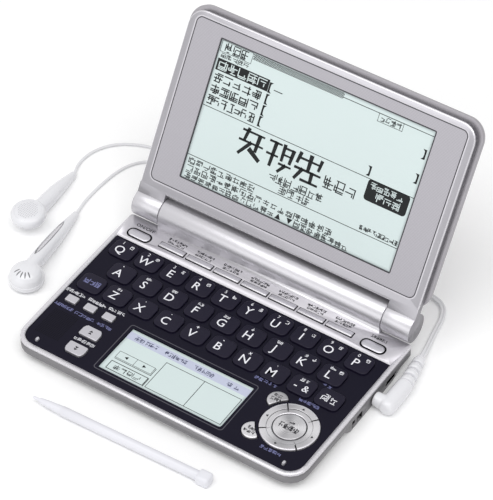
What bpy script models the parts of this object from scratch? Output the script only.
"""Pocket electronic dictionary: clamshell case, 29-key keyboard, cursor ring,
two displays, twin AAA cells in the hinge barrel, a stylus and plug-in earphones.

Metres, +Z up, +X to the right, +Y towards the hinge. The origin is on the flat
underside, below the middle of the base. The lid stands open as it is used.
"""
import math

import bmesh
import bpy
from mathutils import Matrix, Vector
from mathutils.geometry import delaunay_2d_cdt

MM = 0.001

# Clearances and general sizes
GAP = 0.3 * MM
OVERRUN = 1.0 * MM
FUSE = 0.2 * MM
ROUND_SIDES = 32
SMALL_SIDES = 16
PIN_BORE_SIDES = 18

# Base outline
BASE_DEPTH = 93.8 * MM
BASE_FRONT_WIDTH = 148.0 * MM
BASE_FLARE = 1.0 * MM
BASE_REAR_WIDTH = BASE_FRONT_WIDTH + BASE_FLARE * 2
BASE_FRONT_RADIUS = 9.5 * MM
BASE_REAR_RADIUS = 1.8 * MM
BASE_HEIGHT = 9.3 * MM

# Lower case
CASE_WALL = 1.2 * MM
CASE_FLOOR = 1.2 * MM
CASE_SIDE_HEIGHT = 3.9 * MM
CASE_TUCK = 6.5 * MM
CASE_TAPER = 0.15 * MM
BLOCK_FRONT = 38.0 * MM
BLOCK_REAR = 88.0 * MM
BLOCK_FRONT_SLOPE = 5.0 * MM
BLOCK_REAR_SLOPE = 10.0 * MM
BLOCK_WIDTH = 9.0 * MM
BOSS_RADIUS = 2.6 * MM
BOSS_INSET = 14.0 * MM

# Deck, the silver top of the base
DECK_THICKNESS = 1.2 * MM
DECK_EDGE_ROUND = 0.5 * MM
DECK_RIM = 2.1 * MM
DECK_LEDGE = 0.9 * MM
DECK_LEDGE_THICKNESS = 0.6 * MM
STRIP_DEPTH = 15.2 * MM

# Keyboard panel
PANEL_THICKNESS = 1.2 * MM
PANEL_SUNK = 0.35 * MM
BUMPER_LENGTH = 2.3 * MM
BUMPER_WIDTH = 1.3 * MM
BUMPER_HEIGHT = 0.95 * MM
BUMPER_FROM_SIDE = 9.9 * MM
BUMPER_FROM_FRONT = 5.6 * MM

# Keys
KEY_MARGIN_LEFT = 4.0 * MM
KEY_MARGIN_RIGHT = 6.9 * MM
KEY_SPACING = 1.9 * MM
KEY_COLUMN_COUNT = 10
KEY_PITCH = (BASE_FRONT_WIDTH - KEY_MARGIN_LEFT - KEY_MARGIN_RIGHT + KEY_SPACING) / KEY_COLUMN_COUNT
KEY_WIDTH = KEY_PITCH - KEY_SPACING
KEY_DEPTH = 10.4 * MM
KEY_RADIUS = 2.6 * MM
KEY_ROW_PITCH = 12.55 * MM
KEY_FRONT_ROW = 46.4 * MM
KEY_FRONT_ROW_SHIFT = 0.3 * MM
KEY_MIDDLE_ROW_SHIFT = 7.8 * MM
KEY_REAR_ROW_LEFT = (KEY_WIDTH - BASE_FRONT_WIDTH) / 2 + KEY_MARGIN_LEFT
KEY_FRONT_ROW_LEFT = KEY_REAR_ROW_LEFT + KEY_FRONT_ROW_SHIFT
KEY_MIDDLE_ROW_LEFT = KEY_REAR_ROW_LEFT + KEY_MIDDLE_ROW_SHIFT
KEY_PROUD = 0.95 * MM
KEY_EDGE = 0.5 * MM
KEY_FLANGE = 0.65 * MM
KEY_FLANGE_THICKNESS = 0.6 * MM
KEY_TRAVEL = 0.8 * MM

# Silver keys
SMALL_KEY_WIDTH = 5.7 * MM
SMALL_KEY_DEPTH = 4.0 * MM
SMALL_KEY_PITCH = 9.95 * MM
SMALL_KEY_FROM_SIDE = 8.5 * MM
SMALL_KEY_LEFT = SMALL_KEY_FROM_SIDE - BASE_FRONT_WIDTH / 2
SMALL_KEY_FROM_FRONT = 33.7 * MM
SMALL_KEY_RADIUS = 0.4 * MM
PAGE_KEY_WIDTH = 9.6 * MM
PAGE_KEY_DEPTH = 6.1 * MM
PAGE_KEY_FROM_SIDE = 27.4 * MM
PAGE_KEY_X = PAGE_KEY_FROM_SIDE - BASE_FRONT_WIDTH / 2
PAGE_UP_FROM_FRONT = 21.5 * MM
PAGE_DOWN_FROM_FRONT = 10.1 * MM
PAGE_KEY_CUT_WIDTH = 1.3 * MM
PAGE_KEY_CUT_DEPTH = 2.2 * MM
PAGE_KEY_RADIUS = 0.4 * MM
FUNCTION_KEY_DEPTH = 3.0 * MM
FUNCTION_KEY_FROM_FRONT = 84.3 * MM
FUNCTION_BAR_MARGIN = 1.4 * MM
FUNCTION_KEY_PROUD = 0.6 * MM
FUNCTION_KEY_BACK_PROUD = 0.15 * MM
END_KEY_PROUD = 0.5 * MM
END_KEY_LENGTH = 12.0 * MM
END_KEY_DEPTH = 5.4 * MM
END_KEY_FROM_FRONT = 83.6 * MM
POWER_KEY_FROM_SIDE = 10.3 * MM
POWER_KEY_X = POWER_KEY_FROM_SIDE - BASE_FRONT_WIDTH / 2
LIGHT_KEY_FROM_SIDE = 13.3 * MM
LIGHT_KEY_X = BASE_FRONT_WIDTH / 2 - LIGHT_KEY_FROM_SIDE
FUNCTION_KEY_FROM_POWER_KEY = 17.7 * MM
FUNCTION_KEY_FROM_LIGHT_KEY = 17.48 * MM
FUNCTION_KEY_SPACING = 1.67 * MM
FUNCTION_KEY_COUNT = 7
FUNCTION_KEY_LEFT = POWER_KEY_X + FUNCTION_KEY_FROM_POWER_KEY
FUNCTION_KEY_RIGHT = LIGHT_KEY_X - FUNCTION_KEY_FROM_LIGHT_KEY
FUNCTION_KEY_PITCH = (FUNCTION_KEY_RIGHT - FUNCTION_KEY_LEFT) / (FUNCTION_KEY_COUNT - 1)
FUNCTION_KEY_WIDTH = FUNCTION_KEY_PITCH - FUNCTION_KEY_SPACING

# Cursor ring and the keys round it
RING_FROM_SIDE = 18.7 * MM
RING_X = BASE_FRONT_WIDTH / 2 - RING_FROM_SIDE
RING_FROM_FRONT = 23.9 * MM
RING_RADIUS = 13.2 * MM
RING_PROUD = 0.75 * MM
RING_GROOVE_RADIUS = 10.6 * MM
RING_GROOVE_DEPTH = 0.3 * MM
OK_PROUD = 0.6 * MM
RING_FLANGE_DROP = 0.4 * MM
OK_RADIUS = 7.3 * MM
MOON_GAP = 1.6 * MM
MOON_RADIUS = 4.7 * MM
MOON_REACH = 16.0 * MM
VOICE_KEY_DEGREES = 141.0
BACK_KEY_DEGREES = 220.0

# Handwriting screen
TOUCH_FROM_PAGE_KEYS = 13.6 * MM
TOUCH_FROM_RING = 24.9 * MM
TOUCH_LEFT = PAGE_KEY_X + TOUCH_FROM_PAGE_KEYS
TOUCH_RIGHT = RING_X - TOUCH_FROM_RING
TOUCH_FRONT = 7.9 * MM
TOUCH_REAR = 34.5 * MM
TOUCH_RADIUS = 0.8 * MM
TOUCH_SUNK = 0.6 * MM
TOUCH_MARGIN = 1.2 * MM
TOUCH_BASE_THICKNESS = 1.2 * MM

# Circuit board
BOARD_THICKNESS = 1.0 * MM
BOARD_INSET = 5.4 * MM
CHIP_HEIGHT = 1.2 * MM
CHIP_SIZE = 12.0 * MM
CHIP_SPACING = 24.0 * MM
CHIP_ROW_FROM_FRONT = 50.0 * MM

# Earphone jack and the sockets on the right side
JACK_FROM_FRONT = 62.2 * MM
JACK_HEIGHT = 4.1 * MM
JACK_BODY_WIDTH = 6.2 * MM
JACK_BODY_HEIGHT = 4.8 * MM
JACK_BODY_LENGTH = 10.8 * MM
USB_WIDTH = 7.6 * MM
USB_HEIGHT = 3.0 * MM
USB_FROM_FRONT = 76.0 * MM
USB_DEPTH = 6.0 * MM
USB_HEIGHT_ABOVE_FLOOR = 3.4 * MM
USB_SHELL = 0.5 * MM
STRAP_WIDTH = 8.2 * MM
STRAP_HEIGHT = 4.0 * MM
STRAP_HEIGHT_ABOVE_FLOOR = 2.9 * MM
STRAP_DEPTH = 3.2 * MM
STRAP_FROM_FRONT = 48.2 * MM
STRAP_POST_RADIUS = 0.8 * MM

# Widths across the hinge
LID_OVERHANG = 0.3 * MM
LID_COVER_LEDGE = 1.8 * MM
LID_COVER_WIDTH = BASE_REAR_WIDTH + LID_OVERHANG * 2
LID_FRAME_WIDTH = LID_COVER_WIDTH - LID_COVER_LEDGE * 2
KNUCKLE_LENGTH = 14.1 * MM
KNUCKLE_GAP = 0.4 * MM
BARREL_LENGTH = LID_FRAME_WIDTH - (KNUCKLE_LENGTH + KNUCKLE_GAP) * 2

# Hinge barrel and batteries
AXIS_BEHIND_BASE = 4.45 * MM
AXIS_FROM_FRONT = BASE_DEPTH + AXIS_BEHIND_BASE
AXIS_HEIGHT = 14.9 * MM
BARREL_RADIUS = 6.9 * MM
BARREL_BORE = 5.6 * MM
BARREL_END_WALL = 3.0 * MM
BARREL_SKIRT = 1.5 * MM
CELL_RADIUS = 5.25 * MM
CELL_LENGTH = 43.6 * MM
CELL_NUB_RADIUS = 1.9 * MM
CELL_NUB_LENGTH = 0.9 * MM
CELL_SPACING = 0.4 * MM
COVER_MARGIN = 10.0 * MM
COVER_FROM_DEGREES = -75.0
COVER_TO_DEGREES = 20.0
PIN_RADIUS = 2.0 * MM
PIN_HEAD_RADIUS = 4.2 * MM
PIN_HEAD_LENGTH = 6.5 * MM
PIN_INSIDE = 1.0 * MM

# Lid
LID_OPEN_DEGREES = 120.5
LID_FRAME_FOOT = 8.6 * MM
LID_FRAME_TOP = 95.7 * MM
LID_FACE = 4.66 * MM
LID_FRAME_THICKNESS = 3.9 * MM
LID_FRAME_RADIUS = 8.0 * MM
LID_FOOT_RADIUS = 2.0 * MM
LID_WALL = 1.3 * MM
LID_FACE_WALL = 0.9 * MM
LID_EDGE_ROUND = 0.5 * MM
LID_COVER_FOOT = 7.6 * MM
LID_COVER_TOP = 97.8 * MM
LID_COVER_THICKNESS = 3.8 * MM
LID_COVER_RADIUS = 9.5 * MM
LID_COVER_WALL = 2.4 * MM
LID_COVER_FLOOR = 1.2 * MM
LID_COVER_ROUND = 1.4 * MM
KNUCKLE_WEB_TOP = 10.0 * MM
SCREEN_FROM_SIDE = 18.45 * MM
SCREEN_WIDTH = LID_FRAME_WIDTH - SCREEN_FROM_SIDE * 2
SCREEN_HEIGHT = 66.7 * MM
SCREEN_FOOT = 20.1 * MM
SCREEN_MARGIN = 3.0 * MM
SCREEN_THICKNESS = 2.6 * MM
SCREEN_SUNK = 0.5 * MM
WINDOW_RADIUS = 0.6 * MM

# Stylus
STYLUS_LENGTH = 90.5 * MM
STYLUS_RADIUS = 2.25 * MM
STYLUS_CAP_LENGTH = 6.0 * MM
STYLUS_CAP_WIDTH = 6.2 * MM
STYLUS_CAP_HEIGHT = 5.2 * MM
STYLUS_CAP_RADIUS = 1.4 * MM
STYLUS_TIP_LENGTH = 15.5 * MM
STYLUS_NIB_LENGTH = 3.4 * MM
STYLUS_NIB_RADIUS = 0.75 * MM
STYLUS_X = -4.2 * MM
STYLUS_IN_FRONT = 16.6 * MM
STYLUS_TURN_DEGREES = 1.8

# Earphones
PLUG_PIN_RADIUS = 1.75 * MM
PLUG_PIN_LENGTH = 14.0 * MM
PLUG_TIP_RADIUS = 1.0 * MM
PLUG_TIP_LENGTH = 1.6 * MM
PLUG_NECK_RADIUS = 3.0 * MM
PLUG_BODY_RADIUS = 4.0 * MM
PLUG_NECK_LENGTH = 3.0 * MM
PLUG_BODY_LENGTH = 14.5 * MM
PLUG_BOOT_LENGTH = 18.0 * MM
PLUG_BOOT_RADIUS = 3.4 * MM
PLUG_BOOT_END_RADIUS = 2.0 * MM
PLUG_BOOT_RING_COUNT = 4
PLUG_BOOT_GROOVE = 0.6 * MM
PLUG_END_HEIGHT = 2.3 * MM
PLUG_LEAN_DEGREES = 9.5
PLUG_NOSE_SHARES = [(-0.98, 0.35), (-0.8, 0.7), (-0.4, 0.95), (0.0, 1.0)]
LEAD_DIAMETER = 2.7 * MM
WIRE_DIAMETER = 1.4 * MM
COIL_INNER_TURN_COUNT = 4.0
COIL_OUTER_TURN_COUNT = 3.5
COIL_POINT_COUNT = 24
COIL_RADIUS = 14.4 * MM
COIL_PITCH = 3.2 * MM
COIL_X = 5.0 * MM
COIL_FROM_FRONT = 170.0 * MM
BUD_RADIUS = 8.2 * MM
BUD_DEPTH = 8.6 * MM
BUD_PROFILE_SHARES = [
    (0.0, 0.0), (0.42, 0.03), (0.7, 0.14), (0.9, 0.34), (1.0, 0.58),
    (1.0, 0.7), (0.93, 0.84), (0.8, 0.93), (0.0, 1.0),
]
BUD_LEFT_HEAD = (-115.1 * MM, 67.6 * MM)
BUD_LEFT_END = (-116.3 * MM, 104.7 * MM)
BUD_RIGHT_HEAD = (-93.0 * MM, 36.3 * MM)
BUD_RIGHT_END = (-99.8 * MM, 83.3 * MM)
BUD_STEM_RADIUS = 3.7 * MM
BUD_STEM_MIDDLE_RADIUS = 3.3 * MM
BUD_STEM_END_RADIUS = 1.5 * MM
BUD_END_HEIGHT = 1.6 * MM

# Cord routes, points chosen by hand: millimetres to the right of the middle,
# behind the base's front edge, and above the floor
LEAD_ROUTE = [
    (79.0, 95.5, 2.3), (78.5, 98.2, 2.1), (77.5, 103.5, 1.6), (76.3, 109.3, 1.4), (75.2, 115.5, 1.4),
    (74.2, 121.0, 1.4), (72.0, 126.4, 1.4), (68.4, 129.6, 1.4), (64.0, 130.8, 1.4), (58.0, 131.4, 1.4),
    (50.0, 132.6, 1.4), (41.0, 135.6, 1.4), (32.0, 140.0, 1.4), (23.0, 144.8, 1.4), (15.5, 148.2, 1.4),
    (11.0, 149.2, 1.4), (8.0, 149.2, 1.4),
]
WIRE_LEFT_ROUTE = [
    (2.0, 151.6, 4.6), (-2.0, 151.5, 4.5), (-8.0, 150.9, 3.5), (-14.0, 150.3, 1.9), (-20.0, 149.9, 0.75),
    (-30.0, 149.7, 0.75), (-42.0, 149.4, 0.75), (-54.0, 148.8, 0.75), (-66.0, 147.6, 0.75),
    (-78.0, 145.9, 0.75), (-88.0, 144.1, 0.75), (-97.7, 142.1, 0.75), (-102.9, 140.5, 0.75),
    (-109.9, 136.7, 0.75), (-115.0, 131.8, 0.75), (-118.4, 125.6, 0.75), (-119.8, 119.3, 0.75),
    (-119.4, 113.0, 0.8), (-117.4, 107.6, 1.3), (-116.4, 105.1, 1.6),
]
WIRE_RIGHT_ROUTE = [
    (2.0, 150.0, 4.6), (-2.0, 149.8, 4.5), (-8.0, 149.1, 3.5), (-14.0, 148.2, 1.9), (-20.0, 147.3, 0.75),
    (-30.0, 146.3, 0.75), (-42.0, 145.1, 0.75), (-54.0, 143.5, 0.75), (-66.0, 141.5, 0.75),
    (-78.0, 138.9, 0.75), (-87.0, 136.2, 0.75), (-94.3, 132.4, 0.75), (-99.1, 126.2, 0.75),
    (-101.6, 117.9, 0.75), (-102.6, 106.8, 0.75), (-102.5, 96.0, 0.75), (-101.5, 89.2, 0.9),
    (-100.1, 83.9, 1.6),
]

FRONT = -BASE_DEPTH / 2
HINGE_Y = FRONT + AXIS_FROM_FRONT
DECK_TOP = BASE_HEIGHT
DECK_UNDER = DECK_TOP - DECK_THICKNESS
CASE_TOP = DECK_UNDER - GAP
PANEL_TOP = DECK_TOP - PANEL_SUNK
PANEL_UNDER = PANEL_TOP - PANEL_THICKNESS
LEDGE_TOP = PANEL_UNDER - GAP
LEDGE_UNDER = LEDGE_TOP - DECK_LEDGE_THICKNESS
FLANGE_TOP = PANEL_UNDER - GAP
FLANGE_UNDER = FLANGE_TOP - KEY_FLANGE_THICKNESS
BOARD_TOP = FLANGE_UNDER - KEY_TRAVEL - GAP
BOARD_UNDER = BOARD_TOP - BOARD_THICKNESS
STRIP_FRONT = FRONT + BASE_DEPTH - STRIP_DEPTH


def remove_everything():
    for item in list(bpy.data.objects):
        bpy.data.objects.remove(item, do_unlink=True)


def material(name, color, roughness, metallic=0.0):
    finish = bpy.data.materials.new(name)
    finish.use_nodes = True
    shader = finish.node_tree.nodes["Principled BSDF"]
    shader.inputs["Base Color"].default_value = (*color, 1.0)
    shader.inputs["Roughness"].default_value = roughness
    shader.inputs["Metallic"].default_value = metallic
    return finish


def object_from(name, bm, finish=None):
    bmesh.ops.recalc_face_normals(bm, faces=bm.faces)
    if bm.calc_volume(signed=True) < 0.0:
        bmesh.ops.reverse_faces(bm, faces=bm.faces)
    mesh = bpy.data.meshes.new(name)
    bm.to_mesh(mesh)
    bm.free()
    item = bpy.data.objects.new(name, mesh)
    bpy.context.scene.collection.objects.link(item)
    if finish:
        mesh.materials.append(finish)
    return item


# Outlines, as lists of (x, y) points that run anticlockwise

def inset(corners, distance):
    """Corners of a convex outline whose sides are moved inwards by a distance."""
    moved = []
    count = len(corners)
    for index in range(count):
        before = Vector(corners[index - 1])
        here = Vector(corners[index])
        after = Vector(corners[(index + 1) % count])
        first = (here - before).normalized()
        second = (after - here).normalized()
        normal = Vector((-first.y, first.x)) + Vector((-second.y, second.x))
        reach = distance * 2 / normal.length_squared
        moved.append(tuple(here + normal * reach))
    return moved


def rounded(corners, radii, segments=3):
    """Replaces each corner of an outline by an arc of its own radius."""
    points = []
    count = len(corners)
    for index in range(count):
        here = Vector(corners[index])
        back = (Vector(corners[index - 1]) - here).normalized()
        ahead = (Vector(corners[(index + 1) % count]) - here).normalized()
        half = back.angle(ahead) / 2
        radius = radii[index]
        middle = here + (back + ahead).normalized() * radius / math.sin(half)
        start = here + back * radius / math.tan(half) - middle
        end = here + ahead * radius / math.tan(half) - middle
        turn = start.angle_signed(end)
        for step in range(segments + 1):
            angle = -turn * step / segments
            spin = Matrix.Rotation(angle, 2)
            points.append(tuple(middle + spin @ start))
    return points


def rectangle(left, right, front, rear):
    return [(left, front), (right, front), (right, rear), (left, rear)]


def rounded_rectangle(left, right, front, rear, radius, segments=3):
    return rounded(rectangle(left, right, front, rear), [radius] * 4, segments)


def circle(x, y, radius, sides=ROUND_SIDES):
    turn = 2 * math.pi / sides
    return [(x + radius * math.cos(turn * i), y + radius * math.sin(turn * i)) for i in range(sides)]


def base_corners():
    front = BASE_FRONT_WIDTH / 2
    rear = BASE_REAR_WIDTH / 2
    back = FRONT + BASE_DEPTH
    return [(-front, FRONT), (front, FRONT), (rear, back), (-rear, back)]


def base_outline(distance=0.0, segments=5):
    corners = inset(base_corners(), distance)
    front = max(BASE_FRONT_RADIUS - distance, GAP)
    rear = max(BASE_REAR_RADIUS - distance, GAP)
    return rounded(corners, [front, front, rear, rear], segments)


def panel_outline(distance, rear):
    """Outline of the keyboard's field: the base's sides, cut off at the silver strip."""
    corners = inset(base_corners(), distance)
    slope = (corners[2][0] - corners[1][0]) / (corners[2][1] - corners[1][1])
    half = corners[1][0] + slope * (rear - corners[1][1])
    corners[2] = (half, rear)
    corners[3] = (-half, rear)
    front = BASE_FRONT_RADIUS - distance
    return rounded(corners, [front, front, GAP, GAP], 5)


def inside(point, loops):
    """True where a point lies within an odd number of closed loops."""
    odd = False
    for loop in loops:
        for (x1, y1), (x2, y2) in zip(loop, loop[1:] + loop[:1]):
            if (y1 > point.y) != (y2 > point.y):
                crossing = x1 + (point.y - y1) * (x2 - x1) / (y2 - y1)
                odd ^= point.x < crossing
    return odd


# Solids

def prism(outline, low, high, holes=()):
    """A closed plate between two heights, with holes right through."""
    loops = [outline, *holes]
    points = [Vector(point) for loop in loops for point in loop]
    edges = []
    first = 0
    for loop in loops:
        count = len(loop)
        edges += [(first + i, first + (i + 1) % count) for i in range(count)]
        first += count
    flat, _, faces, *_ = delaunay_2d_cdt(points, edges, [], 0, 0.0, False)
    bm = bmesh.new()
    top = [bm.verts.new((p.x, p.y, high)) for p in flat]
    base = [bm.verts.new((p.x, p.y, low)) for p in flat]
    for face in faces:
        middle = sum((flat[i] for i in face), Vector((0.0, 0.0))) / len(face)
        if inside(middle, loops):
            bm.faces.new([top[i] for i in face])
            bm.faces.new([base[i] for i in reversed(face)])
    for a, b in edges:
        bm.faces.new([top[a], top[b], base[b], base[a]])
    return bm


def stack(levels):
    """A closed solid through outlines of equal count, each at its own height."""
    bm = bmesh.new()
    rings = [[bm.verts.new((x, y, z)) for x, y in outline] for outline, z in levels]
    count = len(rings[0])
    for lower, upper in zip(rings, rings[1:]):
        for i in range(count):
            j = (i + 1) % count
            bm.faces.new([lower[i], lower[j], upper[j], upper[i]])
    bm.faces.new(list(reversed(rings[0])))
    bm.faces.new(rings[-1])
    return bm


def block(left, right, front, rear, low, high):
    return prism(rectangle(left, right, front, rear), low, high)


def along_x(bm, start, middle_y=0.0, middle_z=0.0):
    """Turns a solid that stands on z so that it lies along +X from a start."""
    turn = Matrix(((0, 0, 1, 0), (1, 0, 0, 0), (0, 1, 0, 0), (0, 0, 0, 1)))
    bmesh.ops.transform(bm, matrix=turn, verts=bm.verts)
    bmesh.ops.translate(bm, vec=(start, middle_y, middle_z), verts=bm.verts)
    return bm


def rod_x(left, right, y, z, radius, sides=ROUND_SIDES):
    return along_x(prism(circle(0.0, 0.0, radius, sides), 0.0, right - left), left, y, z)


def lathe(profile, sides=ROUND_SIDES):
    """Turns (radius, height) points about +Z; a zero radius closes the end."""
    bm = bmesh.new()
    rings = []
    for radius, height in profile:
        if radius == 0.0:
            rings.append([bm.verts.new((0.0, 0.0, height))])
        else:
            rings.append([bm.verts.new((x, y, height)) for x, y in circle(0.0, 0.0, radius, sides)])
    for lower, upper in zip(rings, rings[1:]):
        for i in range(sides):
            j = (i + 1) % sides
            corners = [lower[i % len(lower)], lower[j % len(lower)], upper[j % len(upper)], upper[i % len(upper)]]
            bm.faces.new(list(dict.fromkeys(corners)))
    for ring in (rings[0], rings[-1]):
        if len(ring) > 1:
            bm.faces.new(ring)
    return bm


def tube(points, radii, sides=SMALL_SIDES, squash=1.0):
    """A closed tube along points, with a radius at each of them."""
    bm = bmesh.new()
    places = [Vector(point) for point in points]
    rings = []
    side = Vector((0.0, 0.0, 1.0))
    for index, place in enumerate(places):
        ahead = places[min(index + 1, len(places) - 1)] - places[max(index - 1, 0)]
        ahead.normalize()
        across = ahead.cross(side).normalized()
        upward = across.cross(ahead)
        ring = []
        for x, y in circle(0.0, 0.0, radii[index], sides):
            ring.append(bm.verts.new(place + across * x + upward * y * squash))
        rings.append(ring)
    for lower, upper in zip(rings, rings[1:]):
        for i in range(sides):
            j = (i + 1) % sides
            bm.faces.new([lower[i], lower[j], upper[j], upper[i]])
    bm.faces.new(rings[0])
    bm.faces.new(rings[-1])
    return bm


def combine(item, tool, operation):
    """Joins or cuts an object with a solid, which is used up."""
    other = object_from("tool", tool)
    step = item.modifiers.new("step", "BOOLEAN")
    step.operation = operation
    step.solver = "EXACT"
    step.object = other
    bpy.context.view_layer.update()
    graph = bpy.context.evaluated_depsgraph_get()
    result = bpy.data.meshes.new_from_object(item.evaluated_get(graph), depsgraph=graph)
    item.modifiers.clear()
    old = item.data
    item.data = result
    bpy.data.meshes.remove(old)
    bpy.data.objects.remove(other, do_unlink=True)
    return item


def fuse(item, tool):
    return combine(item, tool, "UNION")


def cut(item, tool):
    return combine(item, tool, "DIFFERENCE")


def finish(item, name, surface, smooth_angle=35.0):
    item.name = name
    item.data.name = name
    item.data.materials.clear()
    item.data.materials.append(surface)
    item.data.shade_smooth()
    item.data.set_sharp_from_angle(angle=math.radians(smooth_angle))
    return item


# Base

def base_half_width(y):
    """Half the base's width at a distance behind its middle."""
    share_back = (y - FRONT) / BASE_DEPTH
    return (BASE_FRONT_WIDTH + (BASE_REAR_WIDTH - BASE_FRONT_WIDTH) * share_back) / 2


def socket_places():
    """Front and rear limits, low and high limits, and inner end of the two sockets."""
    jack_y = FRONT + JACK_FROM_FRONT
    usb_y = FRONT + USB_FROM_FRONT
    half_jack = JACK_BODY_WIDTH / 2
    half_usb = USB_WIDTH / 2 + USB_SHELL
    jack_end = base_half_width(jack_y) - CASE_WALL - GAP
    usb_end = base_half_width(usb_y) - CASE_WALL - GAP
    jack_low = JACK_HEIGHT - JACK_BODY_HEIGHT / 2
    usb_low = USB_HEIGHT_ABOVE_FLOOR - USB_HEIGHT / 2 - USB_SHELL
    return [
        (jack_end - JACK_BODY_LENGTH, jack_end, jack_y - half_jack, jack_y + half_jack,
         jack_low, jack_low + JACK_BODY_HEIGHT),
        (usb_end - USB_DEPTH, usb_end, usb_y - half_usb, usb_y + half_usb,
         usb_low, usb_low + USB_HEIGHT + USB_SHELL * 2),
    ]


def side_block():
    """The part of the right side that reaches down to the floor."""
    front = FRONT + BLOCK_FRONT
    rear = FRONT + BLOCK_REAR
    profile = [
        (front + BLOCK_FRONT_SLOPE, 0.0),
        (rear - BLOCK_REAR_SLOPE, 0.0),
        (rear, CASE_SIDE_HEIGHT),
        (front, CASE_SIDE_HEIGHT),
    ]
    right = base_half_width(front)
    return along_x(prism(profile, 0.0, BLOCK_WIDTH), right - BLOCK_WIDTH)


def boss_places():
    side = BASE_FRONT_WIDTH / 2 - BOSS_INSET
    front = FRONT + BOSS_INSET
    rear = FRONT + BASE_DEPTH - BOSS_INSET
    return [(-side, front), (side, front), (side, rear), (-side, rear)]


def strap_limits():
    y = FRONT + STRAP_FROM_FRONT
    outer = base_half_width(y)
    half = STRAP_WIDTH / 2
    low = STRAP_HEIGHT_ABOVE_FLOOR - STRAP_HEIGHT / 2
    return outer, y - half, y + half, low, low + STRAP_HEIGHT


def make_lower_case(grey):
    outer = stack([
        (base_outline(CASE_TUCK), 0.0),
        (base_outline(), CASE_SIDE_HEIGHT),
        (base_outline(CASE_TAPER), CASE_TOP),
    ])
    case = object_from("lower_case", outer)
    fuse(case, side_block())
    wall = CASE_WALL + CASE_TAPER
    cut(case, stack([
        (base_outline(CASE_TUCK + wall), CASE_FLOOR),
        (base_outline(wall), CASE_SIDE_HEIGHT + CASE_FLOOR / 2),
        (base_outline(wall), CASE_TOP + OVERRUN),
    ]))
    outer_x, front, rear, low, high = strap_limits()
    inner_x = outer_x - STRAP_DEPTH
    fuse(case, block(inner_x - CASE_WALL, outer_x - CASE_WALL / 2, front - CASE_WALL, rear + CASE_WALL,
                     CASE_FLOOR / 2, high + CASE_WALL))
    cut(case, block(inner_x, outer_x + OVERRUN, front, rear, low, high))
    post_y = (front + rear) / 2
    post = prism(circle(0.0, 0.0, STRAP_POST_RADIUS, SMALL_SIDES), low - FUSE, high + FUSE)
    bmesh.ops.translate(post, vec=(outer_x - STRAP_POST_RADIUS - GAP, post_y, 0.0), verts=post.verts)
    fuse(case, post)
    for left, right, near, far, bottom, top in socket_places():
        cut(case, block(left - GAP, right + GAP, near - GAP, far + GAP, bottom - GAP, CASE_TOP + OVERRUN))
    (_, jack_end, near, far, _, _), (_, usb_end, usb_near, usb_far, _, _) = socket_places()
    cut(case, rod_x(jack_end, jack_end + CASE_WALL + OVERRUN, (near + far) / 2, JACK_HEIGHT,
                    PLUG_PIN_RADIUS + GAP * 2))
    cut(case, block(usb_end, usb_end + CASE_WALL + OVERRUN, usb_near + USB_SHELL, usb_far - USB_SHELL,
                    USB_HEIGHT_ABOVE_FLOOR - USB_HEIGHT / 2, USB_HEIGHT_ABOVE_FLOOR + USB_HEIGHT / 2))
    for x, y in boss_places():
        fuse(case, prism(circle(x, y, BOSS_RADIUS, SMALL_SIDES), CASE_FLOOR - FUSE, BOARD_UNDER - GAP))
    return finish(case, "lower_case", grey)


def make_circuit_board(green):
    board = object_from("circuit_board", prism(base_outline(BOARD_INSET), BOARD_UNDER, BOARD_TOP))
    for left, right, near, far, bottom, top in socket_places():
        fuse(board, block(left, right, near, far, bottom, top))
    (jack_in, jack_end, near, far, _, _), (usb_in, usb_end, usb_near, usb_far, _, _) = socket_places()
    cut(board, rod_x(jack_in - JACK_BODY_LENGTH, jack_end + OVERRUN, (near + far) / 2, JACK_HEIGHT,
                     PLUG_PIN_RADIUS + GAP, SMALL_SIDES))
    cut(board, block(usb_in + USB_SHELL, usb_end + OVERRUN, usb_near + USB_SHELL, usb_far - USB_SHELL,
                     USB_HEIGHT_ABOVE_FLOOR - USB_HEIGHT / 2, USB_HEIGHT_ABOVE_FLOOR + USB_HEIGHT / 2))
    chip_y = FRONT + CHIP_ROW_FROM_FRONT
    for step in (-1, 0, 1):
        x = step * CHIP_SPACING
        half = CHIP_SIZE / 2
        fuse(board, block(x - half, x + half, chip_y - half, chip_y + half,
                          BOARD_UNDER - CHIP_HEIGHT, BOARD_UNDER + FUSE))
    return finish(board, "circuit_board", green)


def deck_keys():
    """Outline, height above the deck and place of each key in the silver strip."""
    def stadium(grow):
        half_length = END_KEY_LENGTH / 2 + grow
        half_depth = END_KEY_DEPTH / 2 + grow
        return rounded_rectangle(-half_length, half_length, -half_depth, half_depth, half_depth - FUSE, 4)
    y = FRONT + END_KEY_FROM_FRONT
    return [("power_key", stadium, POWER_KEY_X, y), ("backlight_key", stadium, LIGHT_KEY_X, y)]


def function_key_places():
    return [FUNCTION_KEY_LEFT + FUNCTION_KEY_PITCH * step for step in range(FUNCTION_KEY_COUNT)]


def function_key_limits(grow=0.0):
    y = FRONT + FUNCTION_KEY_FROM_FRONT
    return y - FUNCTION_KEY_DEPTH / 2 - grow, y + FUNCTION_KEY_DEPTH / 2 + grow


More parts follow.
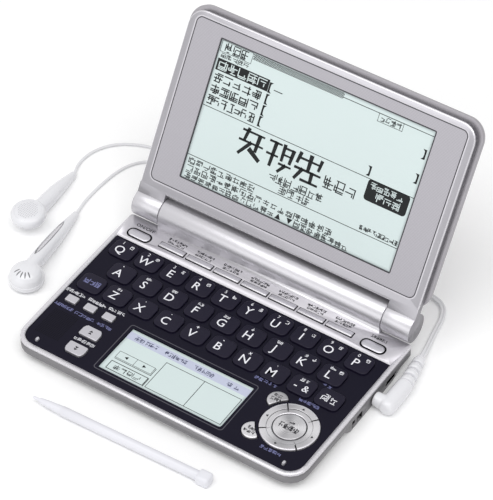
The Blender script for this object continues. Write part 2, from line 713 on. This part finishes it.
def make_deck(silver):
    holes = [panel_outline(DECK_RIM, STRIP_FRONT)]
    for _, outline, x, y in deck_keys():
        holes.append([(x + px, y + py) for px, py in outline(GAP)])
    near, far = function_key_limits(GAP)
    half = FUNCTION_KEY_WIDTH / 2 + GAP
    for x in function_key_places():
        holes.append(rectangle(x - half, x + half, near, far))
    deck = object_from("deck", prism(base_outline(), DECK_UNDER, DECK_TOP, holes))
    edge = stack([
        (base_outline(OVERRUN * -2), DECK_TOP - DECK_EDGE_ROUND),
        (base_outline(OVERRUN * -2), DECK_TOP + OVERRUN),
        (base_outline(DECK_EDGE_ROUND), DECK_TOP + OVERRUN),
        (base_outline(DECK_EDGE_ROUND), DECK_TOP),
        (base_outline(), DECK_TOP - DECK_EDGE_ROUND),
    ])
    cut(deck, closed_ring(edge))
    link_out = CASE_WALL + CASE_TAPER + GAP
    back = STRIP_FRONT
    link = DECK_RIM - link_out
    fuse(deck, prism(panel_outline(link_out, back + link), LEDGE_UNDER, DECK_UNDER + FUSE,
                     [panel_outline(DECK_RIM, back)]))
    fuse(deck, prism(panel_outline(link_out, back + link), LEDGE_UNDER, LEDGE_TOP,
                     [panel_outline(DECK_RIM + DECK_LEDGE, back - DECK_LEDGE)]))
    half = BARREL_LENGTH / 2
    fuse(deck, rod_x(-half, half, HINGE_Y, AXIS_HEIGHT, BARREL_RADIUS))
    skirt = HINGE_Y - BARREL_RADIUS
    fuse(deck, block(-half, half, skirt, skirt + BARREL_SKIRT, DECK_UNDER, AXIS_HEIGHT))
    fuse(deck, block(-half, half, skirt, HINGE_Y - BARREL_RADIUS / 3, DECK_UNDER + FUSE, DECK_TOP + FUSE))
    inner = half - BARREL_END_WALL
    cut(deck, rod_x(-inner, inner, HINGE_Y, AXIS_HEIGHT, BARREL_BORE))
    cut(deck, barrel_sector(GAP, OVERRUN))
    for left, right in ((-half - OVERRUN, -inner + OVERRUN), (inner - OVERRUN, half + OVERRUN)):
        cut(deck, rod_x(left, right, HINGE_Y, AXIS_HEIGHT, PIN_RADIUS + GAP, PIN_BORE_SIDES))
    return finish(deck, "deck", silver)


def closed_ring(bm):
    """Turns a stack's two end faces into a bridge, which makes it a closed ring."""
    ends = [face for face in bm.faces if len(face.verts) > 4]
    edges = [edge for face in ends for edge in face.edges]
    bmesh.ops.delete(bm, geom=ends, context="FACES_ONLY")
    bmesh.ops.bridge_loops(bm, edges=edges)
    return bm


def barrel_sector(grow=0.0, overrun=0.0):
    """The barrel's wall between two angles, for the cover and for its opening."""
    outer = BARREL_RADIUS + overrun
    inner = BARREL_BORE - overrun
    start = math.radians(COVER_FROM_DEGREES) - grow / BARREL_RADIUS
    end = math.radians(COVER_TO_DEGREES) + grow / BARREL_RADIUS
    steps = [start + (end - start) * i / SMALL_SIDES for i in range(SMALL_SIDES + 1)]
    profile = [(outer * math.cos(a), outer * math.sin(a)) for a in steps]
    profile += [(inner * math.cos(a), inner * math.sin(a)) for a in reversed(steps)]
    half = BARREL_LENGTH / 2 - COVER_MARGIN + grow
    return along_x(prism(profile, 0.0, half * 2), -half, HINGE_Y, AXIS_HEIGHT)


def make_battery_cover(silver):
    return finish(object_from("battery_cover", barrel_sector()), "battery_cover", silver)


def make_batteries(steel):
    cell = [
        (CELL_RADIUS, 0.0),
        (CELL_RADIUS, CELL_LENGTH),
        (CELL_NUB_RADIUS, CELL_LENGTH),
        (CELL_NUB_RADIUS, CELL_LENGTH + CELL_NUB_LENGTH),
    ]
    whole = CELL_LENGTH + CELL_NUB_LENGTH
    starts = {"battery_left": -CELL_SPACING - whole, "battery_right": CELL_SPACING}
    for name, start in starts.items():
        body = along_x(lathe(cell), start, HINGE_Y, AXIS_HEIGHT)
        finish(object_from(name, body), name, steel)


# Keyboard

def key_outline(grow=0.0):
    x = KEY_WIDTH / 2 + grow
    y = KEY_DEPTH / 2 + grow
    return rounded_rectangle(-x, x, -y, y, KEY_RADIUS + grow, 2)


def small_key_outline(grow=0.0):
    x = SMALL_KEY_WIDTH / 2 + grow
    y = SMALL_KEY_DEPTH / 2 + grow
    return rounded_rectangle(-x, x, -y, y, SMALL_KEY_RADIUS + grow, 2)


def page_outline(grow, rear):
    """A rectangle with two cut corners, at its rear or at its front edge."""
    x = PAGE_KEY_WIDTH / 2
    y = PAGE_KEY_DEPTH / 2
    corners = [
        (-x, -y),
        (x, -y),
        (x, y - PAGE_KEY_CUT_DEPTH),
        (x - PAGE_KEY_CUT_WIDTH, y),
        (-x + PAGE_KEY_CUT_WIDTH, y),
        (-x, y - PAGE_KEY_CUT_DEPTH),
    ]
    if not rear:
        corners = [(px, -py) for px, py in reversed(corners)]
    return rounded(inset(corners, -grow), [PAGE_KEY_RADIUS + grow] * 6, 2)


def moon_outline(degrees, grow=0.0):
    """A disc beside the ring with a bite that follows the ring's edge, about its own middle."""
    bite = RING_RADIUS + MOON_GAP - grow
    radius = MOON_RADIUS + grow
    reach = (bite ** 2 - radius ** 2 + MOON_REACH ** 2) / (2 * MOON_REACH)
    half = math.sqrt(bite ** 2 - reach ** 2)
    bite_angle = math.atan2(half, reach)
    disc_angle = math.atan2(half, reach - MOON_REACH)
    points = []
    for step in range(13):
        angle = -disc_angle + 2 * disc_angle * step / 12
        points.append((MOON_REACH + radius * math.cos(angle), radius * math.sin(angle)))
    for step in range(1, 6):
        angle = bite_angle - 2 * bite_angle * step / 6
        points.append((bite * math.cos(angle), bite * math.sin(angle)))
    turn = Matrix.Rotation(math.radians(degrees), 2)
    middle = Vector((MOON_REACH, 0.0))
    return [tuple(turn @ (Vector(point) - middle)) for point in points]


def moon_place(degrees):
    angle = math.radians(degrees)
    x = RING_X + MOON_REACH * math.cos(angle)
    y = FRONT + RING_FROM_FRONT + MOON_REACH * math.sin(angle)
    return x, y


KEY_ROWS = [
    ("q w e r t y u i o p", KEY_REAR_ROW_LEFT, KEY_FRONT_ROW + KEY_ROW_PITCH * 2),
    ("a s d f g h j k l", KEY_MIDDLE_ROW_LEFT, KEY_FRONT_ROW + KEY_ROW_PITCH),
    ("shift z x c v b n m hyphen delete", KEY_FRONT_ROW_LEFT, KEY_FRONT_ROW),
]


def black_keys():
    """Name and place of each key of the keyboard block."""
    keys = []
    for names, left, from_front in KEY_ROWS:
        for column, name in enumerate(names.split()):
            keys.append(("key_" + name, left + KEY_PITCH * column, FRONT + from_front))
    return keys


def silver_keys():
    """Name, outline and place of each single silver key on the black panel."""
    page_y = FRONT + PAGE_UP_FROM_FRONT
    down_y = FRONT + PAGE_DOWN_FROM_FRONT
    return [
        ("page_up_key", lambda grow=0.0: page_outline(grow, True), PAGE_KEY_X, page_y),
        ("page_down_key", lambda grow=0.0: page_outline(grow, False), PAGE_KEY_X, down_y),
        ("voice_key", lambda grow=0.0: moon_outline(VOICE_KEY_DEGREES, grow), *moon_place(VOICE_KEY_DEGREES)),
        ("back_key", lambda grow=0.0: moon_outline(BACK_KEY_DEGREES, grow), *moon_place(BACK_KEY_DEGREES)),
    ]


def small_key_places():
    return [SMALL_KEY_LEFT + SMALL_KEY_PITCH * step for step in range(3)]


def moved(outline, x, y):
    return [(px + x, py + y) for px, py in outline]


def touch_outline(grow=0.0):
    return rounded_rectangle(TOUCH_LEFT - grow, TOUCH_RIGHT + grow, FRONT + TOUCH_FRONT - grow,
                             FRONT + TOUCH_REAR + grow, TOUCH_RADIUS + grow, 2)


def make_keyboard_panel(black):
    holes = [moved(key_outline(GAP), x, y) for _, x, y in black_keys()]
    holes += [moved(outline(GAP), x, y) for _, outline, x, y in silver_keys()]
    y = FRONT + SMALL_KEY_FROM_FRONT
    holes += [moved(small_key_outline(GAP), x, y) for x in small_key_places()]
    holes.append(circle(RING_X, FRONT + RING_FROM_FRONT, RING_RADIUS + GAP))
    holes.append(touch_outline(GAP))
    outline = panel_outline(DECK_RIM + GAP, STRIP_FRONT - GAP)
    panel = object_from("keyboard_panel", prism(outline, PANEL_UNDER, PANEL_TOP, holes))
    for side in (-1, 1):
        x = side * (BASE_FRONT_WIDTH / 2 - BUMPER_FROM_SIDE)
        near = FRONT + BUMPER_FROM_FRONT - BUMPER_LENGTH / 2
        bumper = rounded_rectangle(x - BUMPER_WIDTH / 2, x + BUMPER_WIDTH / 2, near,
                                   near + BUMPER_LENGTH, BUMPER_WIDTH / 2 - FUSE / 2)
        fuse(panel, prism(bumper, PANEL_TOP - FUSE, PANEL_TOP + BUMPER_HEIGHT))
    return finish(panel, "keyboard_panel", black)


def key_solid(outline, flange_under, flange_top, top):
    """A key cap on a flange that keeps it from falling out of its hole."""
    return stack([
        (outline(KEY_FLANGE), flange_under),
        (outline(KEY_FLANGE), flange_top),
        (outline(0.0), flange_top),
        (outline(0.0), top - KEY_EDGE),
        (outline(-KEY_EDGE), top),
    ])


def make_key(name, outline, x, y, flange_top, top, surface):
    item = object_from(name, key_solid(outline, flange_top - KEY_FLANGE_THICKNESS, flange_top, top))
    item.location = (x, y, 0.0)
    return finish(item, name, surface)


def make_keys(black, silver):
    top = PANEL_TOP + KEY_PROUD
    for name, x, y in black_keys():
        make_key(name, key_outline, x, y, FLANGE_TOP, top, black)
    for name, outline, x, y in silver_keys():
        make_key(name, outline, x, y, FLANGE_TOP, top, silver)
    for name, outline, x, y in deck_keys():
        make_key(name, outline, x, y, DECK_UNDER - GAP, DECK_TOP + END_KEY_PROUD, silver)


def make_small_keys(silver):
    """Three keys on one moulded bar under the panel."""
    y = FRONT + SMALL_KEY_FROM_FRONT
    places = small_key_places()
    half_depth = SMALL_KEY_DEPTH / 2
    item = object_from("small_keys", block(places[0], places[-1], y - half_depth, y + half_depth,
                                           FLANGE_UNDER, FLANGE_TOP))
    for x in places:
        cap = key_solid(small_key_outline, FLANGE_UNDER, FLANGE_TOP, PANEL_TOP + KEY_PROUD)
        bmesh.ops.translate(cap, vec=(x, y, 0.0), verts=cap.verts)
        fuse(item, cap)
    return finish(item, "small_keys", silver)


def make_function_keys(silver):
    """Seven wedge-shaped keys on one moulded bar under the silver strip."""
    near, far = function_key_limits()
    bar_top = DECK_UNDER - GAP
    bar_under = bar_top - KEY_FLANGE_THICKNESS
    places = function_key_places()
    reach = FUNCTION_KEY_WIDTH / 2 + KEY_FLANGE
    item = object_from("function_keys", block(places[0] - reach, places[-1] + reach,
                                              near - FUNCTION_BAR_MARGIN, far + FUNCTION_BAR_MARGIN,
                                              bar_under, bar_top))
    top = DECK_TOP + FUNCTION_KEY_PROUD
    profile = [
        (near, bar_top - FUSE),
        (far, bar_top - FUSE),
        (far, DECK_TOP + FUNCTION_KEY_BACK_PROUD),
        (near + KEY_EDGE, top),
        (near, top - KEY_EDGE),
    ]
    for x in places:
        fuse(item, along_x(prism(profile, 0.0, FUNCTION_KEY_WIDTH), x - FUNCTION_KEY_WIDTH / 2))
    return finish(item, "function_keys", silver)


def make_cursor_ring(silver):
    """A rocking ring with a groove round its inner field."""
    flange_top = FLANGE_TOP - RING_FLANGE_DROP
    flange_under = flange_top - KEY_FLANGE_THICKNESS
    top = PANEL_TOP + RING_PROUD
    inner = OK_RADIUS + GAP
    groove = top - RING_GROOVE_DEPTH
    profile = [
        (inner, flange_under),
        (RING_RADIUS + KEY_FLANGE, flange_under),
        (RING_RADIUS + KEY_FLANGE, flange_top),
        (RING_RADIUS, flange_top),
        (RING_RADIUS, top - KEY_EDGE),
        (RING_RADIUS - KEY_EDGE, top),
        (RING_GROOVE_RADIUS, top),
        (RING_GROOVE_RADIUS, groove),
        (inner + KEY_EDGE, groove),
        (inner, groove - KEY_EDGE),
        (inner, flange_under),
    ]
    bm = lathe(profile[:-1])
    ring = object_from("cursor_ring", closed_ring(bm))
    ring.location = (RING_X, FRONT + RING_FROM_FRONT, 0.0)
    return finish(ring, "cursor_ring", silver)


def make_ok_key(silver):
    top = PANEL_TOP + OK_PROUD
    item = object_from("ok_key", lathe([
        (OK_RADIUS, FLANGE_UNDER),
        (OK_RADIUS, top - KEY_EDGE),
        (OK_RADIUS - KEY_EDGE, top),
    ]))
    item.location = (RING_X, FRONT + RING_FROM_FRONT, 0.0)
    return finish(item, "ok_key", silver)


def make_touch_screen(glass):
    """A glass plate in the panel's window, on a wider base below the panel."""
    base_top = PANEL_UNDER - GAP
    item = object_from("touch_screen", stack([
        (touch_outline(TOUCH_MARGIN), base_top - TOUCH_BASE_THICKNESS),
        (touch_outline(TOUCH_MARGIN), base_top),
        (touch_outline(), base_top),
        (touch_outline(), PANEL_TOP - TOUCH_SUNK),
    ]))
    return finish(item, "touch_screen", glass)


# Lid, built flat with its face up and its hinge axis on the X axis

def lid_outline(width, foot, top, radius, distance=0.0):
    x = width / 2
    corners = inset(rectangle(-x, x, foot, top), distance)
    upper = max(radius - distance, GAP)
    lower = max(LID_FOOT_RADIUS - distance, GAP)
    return rounded(corners, [lower, lower, upper, upper], 6)


def frame_outline(distance=0.0):
    return lid_outline(LID_FRAME_WIDTH, LID_FRAME_FOOT, LID_FRAME_TOP, LID_FRAME_RADIUS, distance)


def cover_outline(distance=0.0):
    return lid_outline(LID_COVER_WIDTH, LID_COVER_FOOT, LID_COVER_TOP, LID_COVER_RADIUS, distance)


def window_outline(grow=0.0):
    x = SCREEN_WIDTH / 2 + grow
    return rounded_rectangle(-x, x, SCREEN_FOOT - grow, SCREEN_FOOT + SCREEN_HEIGHT + grow,
                             WINDOW_RADIUS + grow, 2)


def place_on_hinge(item):
    item.location = (0.0, HINGE_Y, AXIS_HEIGHT)
    item.rotation_euler = (math.radians(180.0 - LID_OPEN_DEGREES), 0.0, 0.0)
    return item


def make_lid_frame(silver):
    back = LID_FACE - LID_FRAME_THICKNESS
    frame = object_from("lid_frame", stack([
        (frame_outline(), back),
        (frame_outline(), LID_FACE - LID_EDGE_ROUND),
        (frame_outline(LID_EDGE_ROUND), LID_FACE),
    ]))
    cut(frame, prism(frame_outline(LID_WALL), back - OVERRUN, LID_FACE - LID_FACE_WALL))
    cut(frame, prism(window_outline(GAP), back, LID_FACE + OVERRUN))
    outer = LID_FRAME_WIDTH / 2
    for side in (-1, 1):
        left, right = sorted((side * (outer - KNUCKLE_LENGTH), side * outer))
        knuckle = object_from("knuckle", rod_x(left, right, 0.0, 0.0, BARREL_RADIUS))
        fuse(knuckle, block(left, right, 0.0, KNUCKLE_WEB_TOP, back, LID_FACE))
        bore = PIN_HEAD_RADIUS + GAP
        depth = GAP * 2 + PIN_HEAD_LENGTH
        inner = outer - KNUCKLE_LENGTH
        low, high = sorted((side * (inner - OVERRUN), side * (inner + depth)))
        cut(knuckle, rod_x(low, high, 0.0, 0.0, bore))
        tool = bmesh.new()
        tool.from_mesh(knuckle.data)
        bpy.data.objects.remove(knuckle, do_unlink=True)
        fuse(frame, tool)
    return place_on_hinge(finish(frame, "lid_frame", silver))


def make_lid_cover(silver):
    top = LID_FACE - LID_FRAME_THICKNESS - GAP
    under = top - LID_COVER_THICKNESS
    cover = object_from("lid_cover", stack([
        (cover_outline(LID_COVER_ROUND), under),
        (cover_outline(), under + LID_COVER_ROUND),
        (cover_outline(), top),
    ]))
    cut(cover, stack([
        (cover_outline(LID_COVER_WALL), under + LID_COVER_FLOOR),
        (cover_outline(LID_COVER_WALL), top + OVERRUN),
    ]))
    return place_on_hinge(finish(cover, "lid_cover", silver))


def make_main_screen(glass):
    """The display: a glass plate in the window, on a wider module behind the frame."""
    step = LID_FACE - LID_FACE_WALL - GAP
    item = object_from("main_screen", stack([
        (window_outline(SCREEN_MARGIN), step - SCREEN_THICKNESS),
        (window_outline(SCREEN_MARGIN), step),
        (window_outline(), step),
        (window_outline(), LID_FACE - SCREEN_SUNK),
    ]))
    return place_on_hinge(finish(item, "main_screen", glass))


def make_hinge_pins(steel):
    """Friction hinge cartridges: a head in the knuckle, a shaft into the barrel's end."""
    start = LID_FRAME_WIDTH / 2 - KNUCKLE_LENGTH + GAP
    inner = BARREL_LENGTH / 2 - BARREL_END_WALL - PIN_INSIDE
    profile = [
        (PIN_RADIUS, inner),
        (PIN_RADIUS, start),
        (PIN_HEAD_RADIUS, start),
        (PIN_HEAD_RADIUS, start + PIN_HEAD_LENGTH),
    ]
    for name, side in (("hinge_pin_left", -1), ("hinge_pin_right", 1)):
        pin = along_x(lathe(profile, SMALL_SIDES), 0.0)
        if side < 0:
            bmesh.ops.rotate(pin, matrix=Matrix.Rotation(math.pi, 3, "Z"), verts=pin.verts)
        place_on_hinge(finish(object_from(name, pin), name, steel))


# Stylus and earphones

def make_stylus(white):
    """Lies on its squarish cap, with its tip towards the left."""
    axis = STYLUS_CAP_HEIGHT / 2
    barrel_end = STYLUS_LENGTH - STYLUS_CAP_LENGTH
    body = along_x(lathe([
        (0.0, 0.0),
        (STYLUS_NIB_RADIUS * 0.6, STYLUS_NIB_RADIUS * 0.2),
        (STYLUS_NIB_RADIUS, STYLUS_NIB_RADIUS),
        (STYLUS_NIB_RADIUS, STYLUS_NIB_LENGTH),
        (STYLUS_NIB_RADIUS * 1.6, STYLUS_NIB_LENGTH),
        (STYLUS_RADIUS, STYLUS_TIP_LENGTH),
        (STYLUS_RADIUS, barrel_end + FUSE),
    ], SMALL_SIDES), 0.0)
    item = object_from("stylus", body)
    half = STYLUS_CAP_WIDTH / 2
    cap = prism(rounded_rectangle(-half, half, -axis, axis, STYLUS_CAP_RADIUS), 0.0, STYLUS_CAP_LENGTH)
    fuse(item, along_x(cap, barrel_end))
    turn = math.radians(STYLUS_TURN_DEGREES)
    drop = STYLUS_LENGTH / 2 * math.sin(turn)
    item.rotation_euler = (0.0, 0.0, turn)
    item.location = (STYLUS_X - STYLUS_LENGTH / 2, FRONT - STYLUS_IN_FRONT - drop, axis)
    return finish(item, "stylus", white)


def plug_points():
    """Places and radii along the plug's body and ringed boot, from nose to lead."""
    jack_y = FRONT + JACK_FROM_FRONT
    x = base_half_width(jack_y) + GAP + PLUG_NECK_LENGTH + PLUG_BODY_RADIUS
    places = [(x, jack_y + share * PLUG_BODY_RADIUS, JACK_HEIGHT) for share, _ in PLUG_NOSE_SHARES]
    radii = [share * PLUG_BODY_RADIUS for _, share in PLUG_NOSE_SHARES]
    body_end = jack_y + PLUG_BODY_LENGTH
    places.append((x, body_end, JACK_HEIGHT))
    radii.append(PLUG_BODY_RADIUS)
    lean = math.radians(PLUG_LEAN_DEGREES)
    for ring in range(PLUG_BOOT_RING_COUNT):
        for step, groove in ((0.1, 0.0), (0.7, 0.0), (0.8, PLUG_BOOT_GROOVE), (1.0, PLUG_BOOT_GROOVE)):
            share = (ring + step) / PLUG_BOOT_RING_COUNT
            along = share * PLUG_BOOT_LENGTH
            sunk = groove if ring + 1 < PLUG_BOOT_RING_COUNT else 0.0
            z = JACK_HEIGHT + (PLUG_END_HEIGHT - JACK_HEIGHT) * share
            places.append((x - along * math.sin(lean), body_end + along * math.cos(lean), z))
            radii.append(PLUG_BOOT_RADIUS + (PLUG_BOOT_END_RADIUS - PLUG_BOOT_RADIUS) * share - sunk)
    return places, radii


def make_earphone_plug(white):
    places, radii = plug_points()
    item = object_from("earphone_plug", tube(places, radii))
    x, _, z = places[0]
    jack_y = FRONT + JACK_FROM_FRONT
    face = x - PLUG_BODY_RADIUS - PLUG_NECK_LENGTH
    fuse(item, rod_x(face, x, jack_y, z, PLUG_NECK_RADIUS))
    pin = along_x(lathe([
        (PLUG_TIP_RADIUS, 0.0),
        (PLUG_PIN_RADIUS, PLUG_TIP_LENGTH),
        (PLUG_PIN_RADIUS, PLUG_PIN_LENGTH + PLUG_NECK_LENGTH),
    ], SMALL_SIDES), face - PLUG_PIN_LENGTH, jack_y, z)
    fuse(item, pin)
    return finish(item, "earphone_plug", white)


def make_earbud(name, head, end, face_up, white):
    """A round head lying on the floor, with a stem that narrows to the wire."""
    head_x, head_y = head
    end_x, end_y = end
    profile = [(r * BUD_RADIUS, h * BUD_DEPTH) for r, h in BUD_PROFILE_SHARES]
    if not face_up:
        profile = [(r, BUD_DEPTH - h) for r, h in reversed(profile)]
    item = object_from(name, lathe(profile))
    middle = BUD_DEPTH / 2
    reach = Vector((end_x - head_x, end_y - head_y, BUD_END_HEIGHT - middle))
    places = [reach * share + Vector((0.0, 0.0, middle)) for share in (0.0, 0.25, 0.6, 0.8, 1.0)]
    waist = (BUD_STEM_MIDDLE_RADIUS + BUD_STEM_END_RADIUS) / 2
    radii = [BUD_STEM_RADIUS, BUD_STEM_RADIUS, BUD_STEM_MIDDLE_RADIUS, waist, BUD_STEM_END_RADIUS]
    for place, radius in zip(places, radii):
        place.z = max(place.z, radius)
    fuse(item, tube(places, radii))
    item.location = (head_x, FRONT + head_y, 0.0)
    return finish(item, name, white)


def smooth(route, spacing):
    """Evenly spaced points on one smooth curve through a route's points."""
    points = [Vector((x * MM, FRONT + y * MM, z * MM)) for x, y, z in route]
    padded = [points[0] * 2 - points[1], *points, points[-1] * 2 - points[-2]]
    fine = []
    for a, b, c, d in zip(padded, padded[1:], padded[2:], padded[3:]):
        for step in range(16):
            t = step / 16
            fine.append((b * 2 + (c - a) * t + (a * 2 - b * 5 + c * 4 - d) * t ** 2
                         + (b * 3 - a - c * 3 + d) * t ** 3) / 2)
    fine.append(points[-1])
    lengths = [0.0]
    for a, b in zip(fine, fine[1:]):
        lengths.append(lengths[-1] + (b - a).length)
    count = math.ceil(lengths[-1] / spacing)
    picked = []
    index = 0
    for step in range(count + 1):
        target = lengths[-1] * step / count
        while index < len(fine) - 2 and lengths[index + 1] < target:
            index += 1
        share = (target - lengths[index]) / (lengths[index + 1] - lengths[index])
        picked.append(fine[index].lerp(fine[index + 1], share))
    return picked, lengths[-1]


def coil_points():
    """Turns of the put-away lead: a spiral inwards on the floor, half a turn that climbs,
    and a spiral outwards on top, with a straight stretch of one diameter at both ends."""
    outer = COIL_RADIUS + COIL_PITCH * COIL_INNER_TURN_COUNT / 2
    inner = outer - COIL_PITCH * COIL_INNER_TURN_COUNT
    low = LEAD_DIAMETER / 2 + FUSE / 4
    turns = COIL_INNER_TURN_COUNT + COIL_OUTER_TURN_COUNT + 0.5
    points = []
    for step in range(round(turns * COIL_POINT_COUNT) + 1):
        turn = step / COIL_POINT_COUNT
        climb = min(max(turn - COIL_INNER_TURN_COUNT, 0.0) / 0.5, 1.0)
        if turn < COIL_INNER_TURN_COUNT:
            radius = outer - COIL_PITCH * turn
        elif climb < 1.0:
            radius = inner - COIL_PITCH * (climb - climb ** 2) / 2
        else:
            radius = inner + COIL_PITCH * (turn - COIL_INNER_TURN_COUNT - 0.5)
        z = low + COIL_PITCH * (3 * climb ** 2 - 2 * climb ** 3)
        angle = -math.pi / 2 - 2 * math.pi * turn
        x = COIL_X + radius * math.cos(angle)
        y = FRONT + COIL_FROM_FRONT + radius * math.sin(angle)
        points.append(Vector((x, y, z)))
    straight = Vector((LEAD_DIAMETER, 0.0, 0.0))
    return [points[0] + straight, *points, points[-1] - straight]


def least_gap(points, diameter):
    """The smallest free distance between stretches at least half a turn apart."""
    least = math.inf
    for i, here in enumerate(points):
        for there in points[i + COIL_POINT_COUNT // 2:]:
            least = min(least, (here - there).length)
    return least - diameter


def make_cord(name, points, diameter, surface, resolution):
    curve = bpy.data.curves.new(name, "CURVE")
    curve.dimensions = "3D"
    spline = curve.splines.new("POLY")
    spline.points.add(len(points) - 1)
    for target, point in zip(spline.points, points):
        target.co = (*point, 1.0)
    curve.bevel_depth = diameter / 2
    curve.bevel_resolution = resolution
    curve.use_fill_caps = True
    curve.materials.append(surface)
    item = bpy.data.objects.new(name, curve)
    bpy.context.scene.collection.objects.link(item)
    return item


def make_cords(white):
    lead, length = smooth(LEAD_ROUTE, LEAD_DIAMETER * 2.4)
    make_cord("twin_lead", lead, LEAD_DIAMETER, white, 2)
    coil = coil_points()
    coil_length = sum((b - a).length for a, b in zip(coil, coil[1:]))
    make_cord("lead_coil", coil, LEAD_DIAMETER, white, 1)
    print(f"Lead {length:.4f} m in the open, {coil_length:.4f} m in the coil")
    print(f"Least gap in the coil {least_gap(coil, LEAD_DIAMETER) / MM:.2f} mm")
    for name, route in (("wire_left", WIRE_LEFT_ROUTE), ("wire_right", WIRE_RIGHT_ROUTE)):
        wire, length = smooth(route, WIRE_DIAMETER * 2.8)
        make_cord(name, wire, WIRE_DIAMETER, white, 2)
        print(f"{name} {length:.4f} m")


def main():
    remove_everything()
    silver = material("silver paint", (0.56, 0.53, 0.58), 0.38, 0.5)
    grey = material("grey plastic", (0.2, 0.2, 0.21), 0.5)
    black = material("black plastic", (0.018, 0.015, 0.023), 0.3)
    light_silver = material("key silver", (0.62, 0.6, 0.66), 0.35, 0.4)
    green = material("circuit board", (0.02, 0.12, 0.05), 0.5)
    steel = material("steel", (0.6, 0.6, 0.6), 0.25, 1.0)
    paper = material("pale screen", (0.66, 0.75, 0.75), 0.25)
    white = material("white plastic", (0.85, 0.85, 0.87), 0.3)
    make_lower_case(grey)
    make_circuit_board(green)
    make_deck(silver)
    make_battery_cover(silver)
    make_batteries(steel)
    make_keyboard_panel(black)
    make_keys(black, light_silver)
    make_small_keys(light_silver)
    make_function_keys(light_silver)
    make_cursor_ring(light_silver)
    make_ok_key(light_silver)
    make_touch_screen(paper)
    make_lid_frame(silver)
    make_lid_cover(silver)
    make_main_screen(paper)
    make_hinge_pins(steel)
    make_stylus(white)
    make_earphone_plug(white)
    make_earbud("earbud_left", BUD_LEFT_HEAD, BUD_LEFT_END, True, white)
    make_earbud("earbud_right", BUD_RIGHT_HEAD, BUD_RIGHT_END, False, white)
    make_cords(white)


main()
